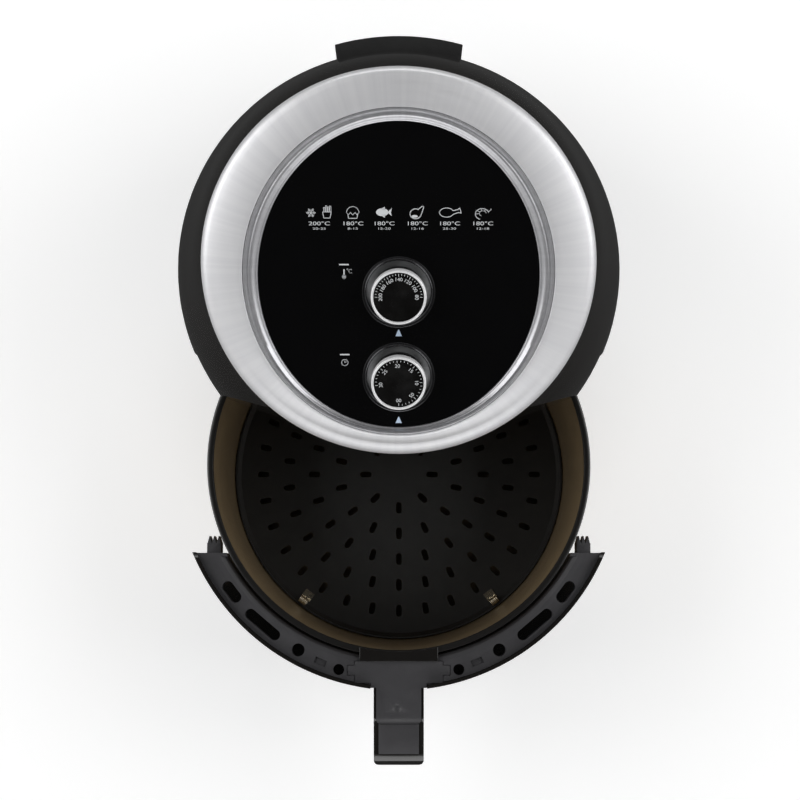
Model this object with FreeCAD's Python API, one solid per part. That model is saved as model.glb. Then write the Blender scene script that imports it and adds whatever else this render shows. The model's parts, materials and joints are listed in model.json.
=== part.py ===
import FreeCAD, Part
import math
import os

# A pot-shaped hot-air fryer with a round pan in a pull-out drawer, and two dials on a sloping lid.
# Millimetres, +Z up, front towards -Y. The rest pose has the drawer pulled about half way out.
# Everything is modelled about the barrel's upright axis, and the drawer as if it were shut. When a
# part is saved it moves back by AXIS_Y, which puts the origin under the middle of the whole fryer,
# and a part of the drawer also moves out by PULL.

V = FreeCAD.Vector
X = V(1, 0, 0)
Y = V(0, 1, 0)
Z = V(0, 0, 1)

# ---- driving dimensions -------------------------------------------------------------------------

# Barrel: each section is (centre y, z, tilt about X in degrees, radius), from the base to the lid.
BARREL = [
    (0.0, 8.0, 0.0, 142.0),
    (0.0, 60.0, 0.0, 153.5),
    (0.0, 115.0, 0.0, 159.0),
    (0.0, 165.0, 0.0, 160.0),
    (-7.0, 210.0, 4.0, 150.5),
    (-13.0, 250.0, 13.0, 140.0),
    (-20.4, 283.5, 23.0, 130.0),
]
WALL = 3.0
FIT = 0.4
REACH = 400.0

# Lid: parts on the slope are modelled flat and moved here. Local +Z is the outward normal.
SLOPE = 23.0
LID_AT = V(0, -21, 292)
RING_R, RING_Y = 129.8, -2.7
RING_TOP_R, RING_TOP_Y = 124.3, 0.7
RING_BOTTOM = -7.9
RING_CREST = 4.5
LIP_A, LIP_B, LIP_Y = 102.0, 109.3, -6.6
PANEL_A, PANEL_B, PANEL_Y = 91.8, 102.3, -9.1
PANEL_TOP = 0.3
PANEL_BOTTOM = -2.5
TEMP_Y, TIMER_Y = -18.3, -76.3
BRACKET_TOP = -4.0
CONTROL_TOP = -5.6

# Dials
KNOB_R = 17.2
KNOB_RING_R = 18.1
KNOB_FACE_R = 16.4
KNOB_STEP = 11.0
KNOB_TOP = 16.0
DISH_R = 24.0
SHAFT_R = 3.0
RUNNING = 0.05

# Drawer opening and drawer
PULL = 143.0
OPEN_Y = -62.0
OPEN_Z0, OPEN_Z1 = 14.0, 182.0
BROW_R, BROW_Y = 303.0, 180.0
GAP = 1.0
SKIN = 2.5
SKIN_TOP = 180.5
PAN_WALL = 1.2
PAN_Z0, PAN_RIM_Z = 26.0, 176.0
PAN_RIM_R = 136.0
PAN_IN_R = 132.0
PAN_LOW_R, PAN_CORNER = 127.8, 12.0
FRAME_Z = 176.0
FRAME_IN_R = 137.6
FRAME_FLAT_R = 146.5
HOLE_R = 148.8

# Handle
ARM_HALF = 17.6
PLATE_HALF = 15.8
ARM_TOP = 175.9
ARM_UNDER = 154.0
HANDLE_END = -213.0
ROLL_Y = -177.0
STEP_Y = -183.0
INLAY_END = -204.4
INLAY_END_Z = 167.0

# Tray
TRAY_R = 127.2
TRAY_Z = 45.0

# Base and liner
BASE_Z0, BASE_Z1 = 8.0, 11.0
FOOT_AT = 82.0
LINER_Z0, LINER_Z1 = 17.0, 186.0
LINER_R0, LINER_R1 = 136.0, 142.0
LINER_FRONT = -26.0
SHEET = 0.8
RAIL_X = 90.0
RAIL_TOP = 25.7

# Air heater
PLATE_Z0, PLATE_Z1 = 186.0, 188.5
CAN_R = 100.0
CAN_TOP = 222.0
TUBE_R = 3.3
TUBE_Z = 200.0
FAN_R, COOLER_R = 48.0, 40.0
SPINDLE_Z0, SPINDLE_Z1 = 200.0, 262.0

# Rear outlet
DUCT_R0, DUCT_R1 = 144.5, 154.0
HOOD_R = 170.0
GLAND_Z = 40.0
GLAND_BORE = 3.6

# The whole
AXIS_Y = 0.5 * (PULL - HANDLE_END - HOOD_R)


# ---- helpers ------------------------------------------------------------------------------------

def box(x0, x1, y0, y1, z0, z1):
    return Part.makeBox(x1 - x0, y1 - y0, z1 - z0, V(x0, y0, z0))


def disc(radius, z0, z1, x=0.0, y=0.0):
    return Part.makeCylinder(radius, z1 - z0, V(x, y, z0), Z)


def tube(outer, inner, z0, z1, x=0.0, y=0.0):
    return disc(outer, z0, z1, x, y).cut(disc(inner, z0, z1, x, y))


def rod(radius, start, end):
    along = end - start
    return Part.makeCylinder(radius, along.Length, start, along)


def turned(points):
    """A solid of revolution about Z from (radius, z) points."""
    corners = [V(r, 0, z) for r, z in points]
    return Part.Face(Part.makePolygon(corners + corners[:1])).revolve(V(0, 0, 0), Z, 360)


def prism(points, z0, z1):
    """A plate with the outline (x, y) from z0 to z1."""
    corners = [V(x, y, z0) for x, y in points]
    return Part.Face(Part.makePolygon(corners + corners[:1])).extrude(V(0, 0, z1 - z0))


def side_prism(points, x0, x1):
    """A bar along X with the outline (y, z) from x0 to x1."""
    corners = [V(x0, y, z) for y, z in points]
    return Part.Face(Part.makePolygon(corners + corners[:1])).extrude(V(x1 - x0, 0, 0))


def sector(r0, r1, half_angle, z0, z1, middle=90.0):
    """Part of a ring, half_angle degrees each side of the direction middle."""
    whole = Part.makeCylinder(r1, z1 - z0, V(0, 0, z0), Z, 2 * half_angle)
    whole.rotate(V(0, 0, 0), Z, middle - half_angle)
    return whole.cut(disc(r0, z0, z1))


def oval_wire(a, b, y, z):
    """An ellipse with half axes a along X and b along Y, starting at its +X end."""
    stretch = FreeCAD.Matrix()
    stretch.scale(a, b, 1)
    wire = Part.Wire(Part.makeCircle(1.0).transformGeometry(stretch))
    wire.translate(V(0, y, z))
    return wire


def oval(a, b, y, z0, z1):
    return Part.Face(oval_wire(a, b, y, z0)).extrude(V(0, 0, z1 - z0))


def oval_loft(low, high):
    """A straight-sided solid between two ellipses given as (a, b, y, z)."""
    return Part.makeLoft([oval_wire(*low), oval_wire(*high)], True, True)


def slot(length, width, radius, angle, z0, z1):
    """A round-ended hole along the rim, at radius and angle from the front."""
    run = (length - width) / 2
    shape = box(-run, run, -width / 2, width / 2, z0, z1)
    shape = shape.fuse([disc(width / 2, z0, z1, -run), disc(width / 2, z0, z1, run)])
    shape = shape.removeSplitter()
    shape.translate(V(0, -radius, 0))
    shape.rotate(V(0, 0, 0), Z, angle)
    return shape


def around(shape, angles):
    copies = []
    for angle in angles:
        copy = shape.copy()
        copy.rotate(V(0, 0, 0), Z, angle)
        copies.append(copy)
    return copies


def rounded(shape, radius, wanted):
    """The shape with a fillet on each edge for which wanted(edge) is true."""
    return shape.makeFillet(radius, [e for e in shape.Edges if wanted(e)])


def runs_along(edge, direction):
    if not isinstance(edge.Curve, Part.Line):
        return False
    return abs(edge.Curve.Direction.dot(direction)) > 0.999


def middle(edge):
    return edge.BoundBox.Center


def on_lid(shape):
    placed = shape.copy()
    placed.rotate(V(0, 0, 0), X, SLOPE)
    placed.translate(LID_AT)
    return placed


def barrel_wires(inset):
    wires = []
    for y, z, tilt, radius in BARREL:
        wire = Part.Wire(Part.makeCircle(radius - inset))
        wire.rotate(V(0, 0, 0), X, tilt)
        wire.translate(V(0, y, z))
        wires.append(wire)
    return wires


def barrel(inset=0.0):
    """The solid inside the barrel's outer surface, or inside that surface moved in by inset."""
    return Part.makeLoft(barrel_wires(inset), True, False)


def barrel_shell(thickness):
    """The barrel's wall alone, open at both ends, sewn from its faces."""
    outer, inner = barrel_wires(0), barrel_wires(thickness)
    faces = Part.makeLoft(outer, False, False).Faces
    faces += [face.reversed() for face in Part.makeLoft(inner, False, False).Faces]
    faces += [Part.Face([outer[end], inner[end]]) for end in (0, -1)]
    shell = Part.makeShell(faces)
    shell.sewShape()
    wall = Part.Solid(shell)
    wall.fix(1e-3, 1e-3, 1e-3)
    return wall


def saved(name, *shapes, moved=0.0):
    """Writes one node's solids in the fryer's frame, moved out with the drawer when moved is given."""
    solids = [solid for shape in shapes for solid in shape.Solids]
    whole = solids[0] if len(solids) == 1 else Part.makeCompound(solids)
    whole = whole.copy()
    whole.translate(V(0, AXIS_Y - moved, 0))
    if not whole.isValid():
        print("invalid:", name)
    whole.exportStep(os.path.join("parts", name + ".step"))
    print(name, len(solids), round(whole.Volume))


os.makedirs("parts", exist_ok=True)

OUTSIDE = barrel()
INSIDE = barrel(WALL)
INNER_FIT = barrel(WALL + FIT)


# ---- casing -------------------------------------------------------------------------------------

def front_opening(grow, corner):
    """The space in front of the opening's edge, larger than the drawer front by grow each way."""
    space = box(-REACH, REACH, -REACH, OPEN_Y - GAP + grow, OPEN_Z0 + GAP - grow, SKIN_TOP + grow)
    return rounded(space, corner, lambda e: runs_along(e, X) and middle(e).y > -REACH + 1)


BOSS_ANGLES = [-60, 60, 120, 180, 240]
BOSS_AT, BOSS_Y = 147.5, -4.5


def at_bosses(shape):
    """Copies of a shape at the chassis plate's five screw places, on a circle that follows the barrel."""
    copies = around(shape, BOSS_ANGLES)
    for copy in copies:
        copy.translate(V(0, BOSS_Y, 0))
    return copies


def brow_front(grow):
    """The upright space in front of the housing's brow, the curved face under the lid's front edge."""
    ahead = box(-REACH, REACH, -REACH, 0, OPEN_Z1, REACH)
    return ahead.cut(disc(BROW_R - grow, 0, REACH, 0, BROW_Y))


def outer_housing():
    shell = barrel_shell(WALL).cut(front_opening(OPEN_Z1 - SKIN_TOP, 6.0))
    brow = brow_front(WALL).common(OUTSIDE).cut(brow_front(0))
    shell = shell.cut(brow_front(0)).fuse(brow)
    boss = tube(5.5, 1.5, PLATE_Z1, PLATE_Z1 + 16, 0, -BOSS_AT)
    shell = shell.fuse(Part.makeCompound(at_bosses(boss)).common(barrel(WALL / 2)))
    shell = shell.cut(sector(140, 170, 13, 100, 165))
    shell = shell.cut(rod(7, V(0, 130, GLAND_Z), V(0, 160, GLAND_Z)))
    saved("outer_housing", shell)


def base_plate():
    plate = disc(REACH, BASE_Z0, BASE_Z1).common(INNER_FIT)
    spots = [(x, y) for x in (-FOOT_AT, FOOT_AT) for y in (-FOOT_AT, FOOT_AT)]
    plate = plate.fuse([disc(7, BASE_Z1, LINER_Z0 - SHEET, x, y) for x, y in spots])
    plate = plate.cut(Part.makeCompound([disc(1.7, 0, 20, x, y) for x, y in spots]))
    vents = [box(-30, 30, y - 1.5, y + 1.5, 0, 20) for y in range(-40, 41, 10)]
    saved("base_plate", plate.cut(Part.makeCompound(vents)))
    saved("rubber_feet", *[rubber_foot(x, y) for x, y in spots])
    saved("base_screws", *[base_screw(x, y) for x, y in spots])


def rubber_foot(x, y):
    foot = turned([(5, 0), (11, 0), (12, 1.5), (13, BASE_Z0), (5, BASE_Z0)])
    foot.translate(V(x, y, 0))
    return foot


def base_screw(x, y):
    head = disc(4, BASE_Z0 - 2.4, BASE_Z0, x, y)
    return head.fuse(disc(1.6, BASE_Z0, LINER_Z0 - SHEET - 0.2, x, y))


def rear_outlet():
    hood = sector(140, HOOD_R, 16, 92, 172).cut(OUTSIDE)
    hood = hood.cut(sector(140, HOOD_R - 2.5, 14.8, 94.5, 169.5))
    louvres = [sector(160, 175, 13, z, z + 3.5) for z in range(100, 164, 8)]
    saved("rear_outlet_cover", hood.cut(Part.makeCompound(louvres)))
    duct = sector(DUCT_R0, DUCT_R1, 14, 104, PLATE_Z0 - 2.6).common(INNER_FIT)
    duct = duct.cut(sector(DUCT_R0 + 1.5, DUCT_R1 + 2, 13.2, 105.5, 190))
    duct = duct.cut(sector(DUCT_R0 - 2, DUCT_R0 + 3, 10, 125, 172))
    saved("exhaust_duct", duct)


def cord_gland():
    body = rod(6.8, V(0, 141, GLAND_Z), V(0, 155, GLAND_Z))
    flange = rod(10, V(0, 146, GLAND_Z), V(0, 152.5, GLAND_Z)).cut(OUTSIDE)
    lip = rod(9, V(0, 143, GLAND_Z), V(0, 149, GLAND_Z)).common(INSIDE)
    bore = rod(GLAND_BORE, V(0, 130, GLAND_Z), V(0, 170, GLAND_Z))
    saved("cord_gland", body.fuse([flange, lip]).cut(bore))


# ---- lid and dials ------------------------------------------------------------------------------

def top_ring():
    foot = oval_wire(RING_R, RING_R, RING_Y, RING_BOTTOM)
    edge = oval_wire(RING_R, RING_R, RING_Y, -6)
    base = oval_wire(RING_TOP_R, RING_TOP_R, RING_TOP_Y, 0)
    half_a, half_b = 0.5 * (RING_TOP_R + LIP_A), 0.5 * (RING_TOP_R + LIP_B)
    brow = oval_wire(half_a, half_b, 0.5 * (RING_TOP_Y + LIP_Y), 3.1)
    crest = oval_wire(LIP_A, LIP_B, LIP_Y, RING_CREST)
    ring = Part.makeLoft([foot, edge, base], True, True).fuse(Part.makeLoft([base, brow, crest], True, False))
    hollow = turned([(0, -9), (126.6, -9), (126.6, -7.4), (122, -2.6), (0, -2.6)])
    hollow.translate(V(0, RING_Y, 0))
    hollow = hollow.fuse(oval_loft((118.5, 118.5, -2, -3), (106, 113.5, LIP_Y, 1.4)))
    ring = ring.cut(hollow).cut(oval(LIP_A, LIP_B, LIP_Y, -20, 20))
    saved("top_ring", on_lid(ring))


def panel_bezel():
    outer = oval(LIP_A - FIT, LIP_B - FIT, LIP_Y, BRACKET_TOP, 3.2)
    outer = outer.fuse(oval_loft((LIP_A - FIT, LIP_B - FIT, LIP_Y, 3.2), (98.3, 105.9, LIP_Y, 4.4)))
    carrier = disc(121.2, BRACKET_TOP, -2.7, 0, RING_Y)
    inner = oval_loft((92.6, 103.1, PANEL_Y, 0.8), (98.6, 106.4, LIP_Y, 4.8))
    seat = oval(PANEL_A + 0.2, PANEL_B + 0.2, PANEL_Y, PANEL_BOTTOM, 2)
    window = oval(PANEL_A - 4, PANEL_B - 4, PANEL_Y, -10, 2)
    bezel = outer.fuse(carrier).cut(inner).cut(seat).cut(window)
    for x, y in CARRIER_SCREWS:
        bezel = bezel.cut(disc(1.3, -10, -2.9, x, y))
    saved("panel_bezel", on_lid(bezel))


CARRIER_SCREWS = [(-15, -110), (15, -110), (-15, 93), (15, 93)]


def control_panel():
    panel = oval(PANEL_A, PANEL_B, PANEL_Y, PANEL_BOTTOM, PANEL_TOP)
    holes = [disc(22.5, -10, 10, 0, y) for y in (TEMP_Y, TIMER_Y)]
    saved("control_panel", on_lid(panel.cut(Part.makeCompound(holes))))


def knob_dishes():
    profile = [
        (5, -2.2),
        (20.2, -2.2),
        (22.3, -1.2),
        (22.3, PANEL_TOP),
        (DISH_R, PANEL_TOP),
        (DISH_R - 0.6, 1.5),
        (22.0, 1.7),
        (19.6, -0.9),
        (5, -0.9),
    ]
    dish = turned(profile)
    saved("knob_bezels", *[on_lid(dish.translated(V(0, y, 0))) for y in (TEMP_Y, TIMER_Y)])


def knob(name, y):
    """A knob of three pieces: the moulded grip, its chrome ring and the steel shaft."""
    grip = turned([
        (0, 0.1),
        (KNOB_R, 0.1),
        (KNOB_R, KNOB_STEP),
        (KNOB_FACE_R, KNOB_STEP),
        (KNOB_FACE_R, KNOB_TOP),
        (0, KNOB_TOP),
    ])
    grip = grip.cut(disc(SHAFT_R, 0, 10, 0, 0))
    ring = turned([
        (KNOB_FACE_R, KNOB_STEP),
        (KNOB_RING_R, KNOB_STEP),
        (KNOB_RING_R, KNOB_TOP + 0.7),
        (KNOB_RING_R - 0.5, KNOB_TOP + 1.4),
        (KNOB_FACE_R + 0.3, KNOB_TOP + 1.5),
        (KNOB_FACE_R, KNOB_TOP + 1.1),
    ])
    depth = -15 if name == "temp" else -24
    shaft = disc(SHAFT_R, depth, 10)
    for part, shape in (("knob", grip), ("knob_ring", ring), ("shaft", shaft)):
        saved(name + "_" + part, on_lid(shape.translated(V(0, y, 0))))


def control_bracket():
    bracket = box(-22, 22, -116, 99, CONTROL_TOP, BRACKET_TOP)
    holes = [disc(4.7, -10, 0, 0, y) for y in (TEMP_Y, TIMER_Y)]
    holes += [disc(1.4, -10, 0, x, y) for x, y in CARRIER_SCREWS]
    saved("control_bracket", on_lid(bracket.cut(Part.makeCompound(holes))))
    screws = [disc(3.2, CONTROL_TOP - 2.2, CONTROL_TOP, x, y) for x, y in CARRIER_SCREWS]
    shanks = [disc(1.3, CONTROL_TOP, -2.9, x, y) for x, y in CARRIER_SCREWS]
    saved("bracket_screws", *[on_lid(a.fuse(b)) for a, b in zip(screws, shanks)])


def thermostat():
    body = disc(20, -23, CONTROL_TOP, 0, TEMP_Y)
    body = body.fuse(box(-12, 12, TEMP_Y - 19, TEMP_Y + 19, -23, -12))
    body = body.fuse(disc(4.6, CONTROL_TOP, -2.4, 0, TEMP_Y))
    body = body.cut(disc(SHAFT_R + RUNNING, -15.3, 10, 0, TEMP_Y))
    saved("thermostat_body", on_lid(body))
    bulb = rod(3, V(-30, -70, 212), V(30, -70, 212))
    clips = [box(x - 3, x + 3, -72, -68, 213, CAN_TOP - 1) for x in (-20, 20)]
    saved("thermostat_bulb", bulb.fuse(clips))


def timer():
    body = box(-24, 24, TIMER_Y - 22, TIMER_Y + 22, -31, CONTROL_TOP)
    body = rounded(body, 4.0, lambda e: runs_along(e, Z))
    body = body.fuse(disc(4.6, CONTROL_TOP, -2.4, 0, TIMER_Y))
    body = body.cut(disc(SHAFT_R + RUNNING, -24.3, 10, 0, TIMER_Y))
    saved("timer_body", on_lid(body))
    bell = turned([(0, 0), (11.5, 0), (11.5, 4), (8, 8), (0, 9)])
    bell = bell.cut(turned([(0, -1), (10.3, -1), (10.3, 3.6), (7.3, 7), (0, 7.8)]))
    bell = bell.fuse(disc(2, 0, 8))
    bell.rotate(V(0, 0, 0), Y, 90)
    bell.translate(V(24, TIMER_Y, -18.5))
    saved("timer_bell", on_lid(bell))


# ---- heater and motor ---------------------------------------------------------------------------

def chassis():
    plate = disc(REACH, PLATE_Z0, PLATE_Z1).common(INNER_FIT)
    plate = plate.cut(disc(CAN_R + 1, 180, 200)).cut(sector(DUCT_R0, 200, 14.2, 180, 200))
    bolt = disc(2.0, 180, 200, 0, -BOSS_AT)
    plate = plate.cut(Part.makeCompound(at_bosses(bolt)))
    plate = plate.cut(disc(4, 180, 200, SWITCH_X, SWITCH_Y))
    saved("chassis_plate", plate.cut(brow_front(WALL + FIT)))
    screw = disc(4, PLATE_Z0 - 2.2, PLATE_Z0, 0, -BOSS_AT)
    screw = screw.fuse(disc(1.5, PLATE_Z0, PLATE_Z1 + 12, 0, -BOSS_AT))
    saved("chassis_screws", *at_bosses(screw))


SWITCH_X, SWITCH_Y = 112.0, -86.0


def drawer_switch():
    x, y = SWITCH_X, SWITCH_Y
    body = rounded(box(x - 10, x + 10, y - 5, y + 5, PLATE_Z1, PLATE_Z1 + 11), 1.5,
                   lambda e: runs_along(e, Z))
    blades = [box(x + at - 1.5, x + at + 1.5, y - 0.4, y + 0.4, PLATE_Z1 + 11, PLATE_Z1 + 18)
              for at in (-6, 0, 6)]
    plunger = disc(2.5, SKIN_TOP + 2, PLATE_Z1, x, y)
    saved("drawer_switch", body.fuse(blades + [plunger]))


def heater_chamber():
    can = turned([
        (8, CAN_TOP - 1),
        (8, CAN_TOP),
        (CAN_R - 6, CAN_TOP),
        (CAN_R, CAN_TOP - 6),
        (CAN_R, PLATE_Z1 + 1),
        (CAN_R + 12, PLATE_Z1 + 1),
        (CAN_R + 12, PLATE_Z1),
        (CAN_R - 1, PLATE_Z1),
        (CAN_R - 1, CAN_TOP - 6.5),
        (CAN_R - 6.5, CAN_TOP - 1),
    ])
    holes = []
    for radius in (TUBE_OUTER, TUBE_INNER):
        terminal = terminal_at(radius)
        holes.append(disc(TUBE_R + 0.5, CAN_TOP - 4, CAN_TOP + 4, terminal.x, terminal.y))
    saved("heater_chamber", can.cut(Part.makeCompound(holes)))
    guard = tube(98.8, 95.5, 190, 191.5)
    rings = [tube(r + 1, r - 1, 190, 191.5) for r in (75, 52, 29)]
    spokes = around(box(27, 96, -1, 1, 190, 191.5), range(0, 360, 45))
    saved("heater_guard", guard.fuse(rings + spokes))


TUBE_OUTER, TUBE_INNER = 82.0, 64.0
TERMINAL_ANGLE = 78.0
TURN_ANGLE = 100.0
TUBE_BEND = 7.0


def polar(radius, degrees):
    a = math.radians(degrees)
    return radius * math.cos(a), radius * math.sin(a)


def arc_through(points):
    return Part.Arc(*points).toShape()


def at_height(radius, degrees, z):
    return V(*polar(radius, degrees), z)


def terminal_at(radius):
    """The foot of one upright terminal, where its quarter bend starts."""
    tangent = V(*polar(1, TERMINAL_ANGLE - 90), 0)
    return at_height(radius, TERMINAL_ANGLE, TUBE_Z + TUBE_BEND) - tangent * TUBE_BEND


def terminal_bend(radius, upward):
    """The straight terminal and the quarter bend that joins it to the coil, as two edges."""
    tangent = V(*polar(1, TERMINAL_ANGLE - 90), 0)
    join = at_height(radius, TERMINAL_ANGLE, TUBE_Z)
    bend = math.sqrt(0.5) * TUBE_BEND
    centre = join + Z * TUBE_BEND
    shoulder = terminal_at(radius)
    mid = centre - tangent * bend - Z * bend
    tip = V(shoulder.x, shoulder.y, CAN_TOP + 13)
    quarter = arc_through([shoulder, mid, join])
    line = Part.LineSegment(tip, shoulder).toShape()
    return [line, quarter] if upward else [quarter, line]


def heating_element():
    z = TUBE_Z
    outer = arc_through([
        at_height(TUBE_OUTER, TERMINAL_ANGLE, z),
        at_height(TUBE_OUTER, TERMINAL_ANGLE - 169, z),
        at_height(TUBE_OUTER, TURN_ANGLE, z),
    ])
    half = (TUBE_OUTER - TUBE_INNER) / 2
    centre = at_height(TUBE_INNER + half, TURN_ANGLE, z)
    far = centre + V(*polar(half, TURN_ANGLE - 90), 0)
    turn = arc_through([at_height(TUBE_OUTER, TURN_ANGLE, z), far, at_height(TUBE_INNER, TURN_ANGLE, z)])
    inner = arc_through([
        at_height(TUBE_INNER, TURN_ANGLE, z),
        at_height(TUBE_INNER, TERMINAL_ANGLE - 169, z),
        at_height(TUBE_INNER, TERMINAL_ANGLE, z),
    ])
    edges = terminal_bend(TUBE_OUTER, True) + [outer, turn, inner]
    edges += terminal_bend(TUBE_INNER, False)
    pieces = []
    for edge in edges:
        start = edge.valueAt(edge.FirstParameter)
        profile = Part.Wire(Part.makeCircle(TUBE_R, start, edge.tangentAt(edge.FirstParameter)))
        pieces.append(Part.Wire(edge).makePipeShell([profile], True, False))
    element = pieces[0].fuse(pieces[1:])
    saved("heating_element", element)
    strap = turned([(80 - 20, 204), (86, 204), (86, 205.2), (60, 205.2)])
    straps = []
    for angle in (-60, 60, 180):
        bar = strap.common(around(box(50, 90, -4, 4, 203, 206), [angle])[0])
        post = around(box(71, 75, -4, 4, 205.2, CAN_TOP - 1), [angle])[0]
        straps.append(bar.fuse(post))
    saved("heater_clips", *straps)


def motor():
    spindle = disc(SHAFT_R, SPINDLE_Z0, SPINDLE_Z1)
    saved("motor_shaft", spindle)
    saved("motor_rotor", tube(12, SHAFT_R, 240.5, 255.5))
    bearings = [tube(7, SHAFT_R + RUNNING, z, z + 4.5) for z in (235.2, 256.5)]
    saved("motor_bearings", *bearings)
    stator = box(-30, 30, -22, 34, 240, 256).cut(disc(12.6, 230, 270))
    windows = [box(x, x + 7, 17, 30, 230, 270) for x in (-20, 13)]
    saved("motor_stator", stator.cut(Part.makeCompound(windows)))
    coil = box(-19.6, 19.6, 17.4, 29.6, 236.2, 259.8)
    coil = rounded(coil, 3, lambda e: runs_along(e, Y))
    saved("motor_coil", coil.cut(box(-13.1, 13.1, 10, 40, 239.9, 256.1)))
    lower = box(-48, 48, -12, 12, 236, 238)
    legs = [box(x, x + 3, -12, 12, CAN_TOP, 236) for x in (-48, 45)]
    feet = [box(x, x + 12, -12, 12, CAN_TOP, CAN_TOP + 2) for x in (-60, 48)]
    posts = [disc(3, 238, 240, x, y) for x in (-24, 24) for y in (-8, 8)]
    lower = lower.fuse(legs + feet + posts).cut(disc(7, 230, 245))
    upper = box(-26, 26, -9, 9, 258, 260).fuse([disc(3, 256, 258, x, 0) for x in (-22, 22)])
    saved("motor_brackets", lower, upper.cut(disc(7, 250, 265)))


def blade_fan(radius, hub, z0, z1, count, sweep):
    """A bent-blade fan: a thin disc with upright blades that lean back by sweep degrees."""
    fan = disc(radius, z0, z0 + 1).fuse(disc(hub, z0, z1))
    blade = box(hub + 3, radius - 1, -0.6, 0.6, z0 + 1, z1)
    blade.rotate(V(hub + 3, 0, 0), Z, sweep)
    kept = blade.common(disc(radius, z0, z1))
    return fan.fuse(around(kept, [360 / count * n for n in range(count)]))


def fans():
    hot = blade_fan(FAN_R, 8, 207, 218, 12, 14)
    saved("convection_fan", hot.cut(disc(SHAFT_R, 190, 270)))
    cool = blade_fan(COOLER_R, 7, 226, 233, 14, -16)
    saved("cooling_fan", cool.cut(disc(SHAFT_R, 190, 270)))
    nut = prism([polar(6, 60 * n) for n in range(6)], 202, 207)
    saved("fan_nut", nut.cut(disc(SHAFT_R, 190, 270)))


def top_electrics():
    fuse = disc(6, CAN_TOP, CAN_TOP + 5, -62, 52)
    fuse = fuse.fuse([box(-74, -50, 49, 55, CAN_TOP, CAN_TOP + 1)])
    saved("thermal_fuse", fuse)
    block = box(-110, -84, 80, 94, PLATE_Z1, PLATE_Z1 + 14)
    wells = [disc(3, PLATE_Z1 + 6, 220, x, 87) for x in (-105, -97, -89)]
    saved("terminal_block", block.cut(Part.makeCompound(wells)))


# ---- cooking cavity -----------------------------------------------------------------------------

def liner_wire(radius, front, z):
    left, right = V(-radius, 0, z), V(radius, 0, z)
    corner_l, corner_r = V(-radius, front, z), V(radius, front, z)
    back = Part.Arc(right, V(0, radius, z), left).toShape()
    sides = [Part.LineSegment(a, b).toShape() for a, b in
             ((left, corner_l), (corner_l, corner_r), (corner_r, right))]
    return Part.Wire([back] + sides)


def liner_solid(grow, front, z0, z1):
    low = liner_wire(LINER_R0 + grow, front, z0)
    high = liner_wire(LINER_R1 + grow, front, z1)
    return Part.makeLoft([low, high], True, True)


def inner_liner():
    outer = liner_solid(SHEET, LINER_FRONT, LINER_Z0 - SHEET, LINER_Z1)
    flange = box(-150, 150, LINER_FRONT, 150, LINER_Z1 - SHEET, LINER_Z1).common(
        disc(145.5, LINER_Z1 - SHEET, LINER_Z1))
    face = box(-160, 160, LINER_FRONT, LINER_FRONT + SHEET, LINER_Z0, LINER_Z1).common(INNER_FIT)
    floor = box(-113, 113, OPEN_Y, LINER_FRONT + 1, LINER_Z0 - SHEET, LINER_Z0)
    liner = outer.fuse([flange, face, floor])
    liner = liner.cut(liner_solid(0, LINER_FRONT - 1, LINER_Z0, LINER_Z1 + 0.01))
    vents = [sector(130, 150, 9, z, z + 4) for z in range(128, 168, 8)]
    notches = at_bosses(disc(5, LINER_Z1 - 5, LINER_Z1 + 1, 0, -BOSS_AT))
    saved("inner_liner", liner.cut(Part.makeCompound(vents + notches)))


def drawer_rails():
    rails = []
    for x in (-RAIL_X, RAIL_X):
        rail = side_prism([(-64, LINER_Z0), (-64, 22), (-58, RAIL_TOP), (88, RAIL_TOP), (88, LINER_Z0)],
                          x - 5, x + 5)
        rails.append(rail.cut(box(x - 3.4, x + 3.4, -62, 86.4, LINER_Z0, RAIL_TOP - 1.6)))
    saved("drawer_rails", *rails)


# ---- drawer -------------------------------------------------------------------------------------

def pan_profile_face():
    """Half of the pan's section: floor, rounded corner, wall with draught and rolled rim."""
    t = PAN_WALL
    low = PAN_Z0 + t
    corner = PAN_LOW_R - PAN_CORNER
    bend_z = low + PAN_CORNER
    k = math.sqrt(0.5)
    inner_mid = V(corner + k * PAN_CORNER, 0, bend_z - k * PAN_CORNER)
    outer_mid = V(corner + k * (PAN_CORNER + t), 0, bend_z - k * (PAN_CORNER + t))
    rim = PAN_RIM_Z
    points = [
        V(PAN_LOW_R, 0, bend_z),
        V(PAN_IN_R, 0, rim - 2),
        V(PAN_IN_R + 0.6, 0, rim - 0.6),
        V(PAN_IN_R + 1.6, 0, rim),
        V(PAN_RIM_R - 1, 0, rim),
        V(PAN_RIM_R, 0, rim - 1),
        V(PAN_RIM_R, 0, rim - 4),
        V(PAN_RIM_R - 1, 0, rim - 4),
        V(PAN_RIM_R - 1.2, 0, rim - t - 0.2),
        V(PAN_IN_R + t + 0.5, 0, rim - t - 0.2),
        V(PAN_IN_R + t, 0, rim - 2),
        V(PAN_LOW_R + t, 0, bend_z),
    ]
    edges = [Part.LineSegment(a, b).toShape() for a, b in zip(points, points[1:])]
    edges.append(arc_through([V(PAN_LOW_R + t, 0, bend_z), outer_mid, V(corner, 0, PAN_Z0)]))
    edges.append(Part.LineSegment(V(corner, 0, PAN_Z0), V(0, 0, PAN_Z0)).toShape())
    edges.append(Part.LineSegment(V(0, 0, PAN_Z0), V(0, 0, low)).toShape())
    edges.append(Part.LineSegment(V(0, 0, low), V(corner, 0, low)).toShape())
    edges.append(arc_through([V(corner, 0, low), inner_mid, V(PAN_LOW_R, 0, bend_z)]))
    return Part.Face(Part.Wire(Part.__sortEdges__(edges)))


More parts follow.
